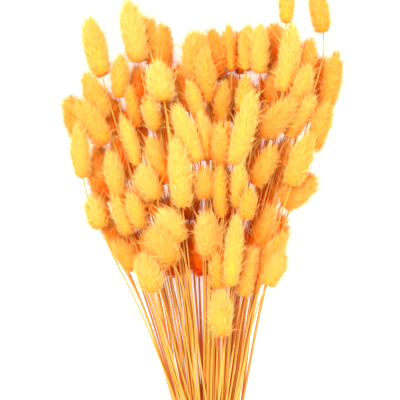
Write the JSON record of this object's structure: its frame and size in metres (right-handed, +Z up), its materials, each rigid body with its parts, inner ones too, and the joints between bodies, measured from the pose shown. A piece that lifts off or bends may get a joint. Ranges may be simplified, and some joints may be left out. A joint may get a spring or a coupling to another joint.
{
  "type": "dried bunny tail grass bunch",
  "caption": "Tied bunch of dried, dyed bunny tail grass lying down: thin straight stems drawn together in a twine binding, each with one dense, hairy, oval flower head.",
  "frame": {"origin": "middle of the bunch's bounding box, on the surface that it lies on", "axes": "+Y along the bunch from the cut stems to the flower heads, +Z up from the surface, +X to the right as seen from above"},
  "size_m": [0.2272, 0.479, 0.1145],
  "materials": {
    "dyed_straw_front": "matt, soft, hairy",
    "dyed_straw_middle": "matt, soft, hairy",
    "dyed_straw_back": "matt, soft, hairy",
    "jute_twine": "matt, fibrous"
  },
  "bodies": {
    "root": {"bunny_tail_01": "dyed_straw_back", "bunny_tail_02": "dyed_straw_back", "bunny_tail_03": "dyed_straw_back", "bunny_tail_04": "dyed_straw_back", "bunny_tail_05": "dyed_straw_middle", "bunny_tail_06": "dyed_straw_middle", "bunny_tail_07": "dyed_straw_middle", "bunny_tail_08": "dyed_straw_front", "bunny_tail_pair_01": "dyed_straw_back", "bunny_tail_pair_02": "dyed_straw_back", "bunny_tail_pair_03": "dyed_straw_back", "bunny_tail_pair_04": "dyed_straw_back", "bunny_tail_pair_05": "dyed_straw_back", "bunny_tail_pair_06": "dyed_straw_back", "bunny_tail_pair_07": "dyed_straw_back", "bunny_tail_pair_08": "dyed_straw_back", "bunny_tail_pair_09": "dyed_straw_back", "bunny_tail_pair_10": "dyed_straw_back", "bunny_tail_pair_11": "dyed_straw_back", "bunny_tail_pair_12": "dyed_straw_back", "bunny_tail_pair_13": "dyed_straw_back", "bunny_tail_pair_14": "dyed_straw_back", "bunny_tail_pair_15": "dyed_straw_back", "bunny_tail_pair_16": "dyed_straw_back", "bunny_tail_pair_17": "dyed_straw_back", "bunny_tail_pair_18": "dyed_straw_back", "bunny_tail_pair_19": "dyed_straw_back", "bunny_tail_pair_20": "dyed_straw_back", "bunny_tail_pair_21": "dyed_straw_back", "bunny_tail_pair_22": "dyed_straw_middle", "bunny_tail_pair_23": "dyed_straw_middle", "bunny_tail_pair_24": "dyed_straw_middle", "bunny_tail_pair_25": "dyed_straw_middle", "bunny_tail_pair_26": "dyed_straw_middle", "bunny_tail_pair_27": "dyed_straw_front", "bunny_tail_pair_28": "dyed_straw_middle", "bunny_tail_pair_29": "dyed_straw_front", "bunny_tail_pair_30": "dyed_straw_middle", "bunny_tail_pair_31": "dyed_straw_middle", "bunny_tail_pair_32": "dyed_straw_front", "bunny_tail_pair_33": "dyed_straw_middle", "bunny_tail_pair_34": "dyed_straw_front", "bunny_tail_pair_35": "dyed_straw_front", "bunny_tail_pair_36": "dyed_straw_middle", "bunny_tail_pair_37": "dyed_straw_front", "bunny_tail_pair_38": "dyed_straw_middle", "bunny_tail_pair_39": "dyed_straw_front", "bunny_tail_pair_40": "dyed_straw_middle", "bunny_tail_pair_41": "dyed_straw_middle", "bunny_tail_pair_42": "dyed_straw_middle", "bunny_tail_pair_43": "dyed_straw_front", "bunny_tail_pair_44": "dyed_straw_front", "bunny_tail_pair_45": "dyed_straw_front", "bunny_tail_pair_46": "dyed_straw_front", "bunny_tail_pair_47": "dyed_straw_middle", "bunny_tail_pair_48": "dyed_straw_middle", "bunny_tail_pair_49": "dyed_straw_front", "bunny_tail_pair_50": "dyed_straw_front", "twine_tie": "jute_twine"}
  },
  "joints": []
}
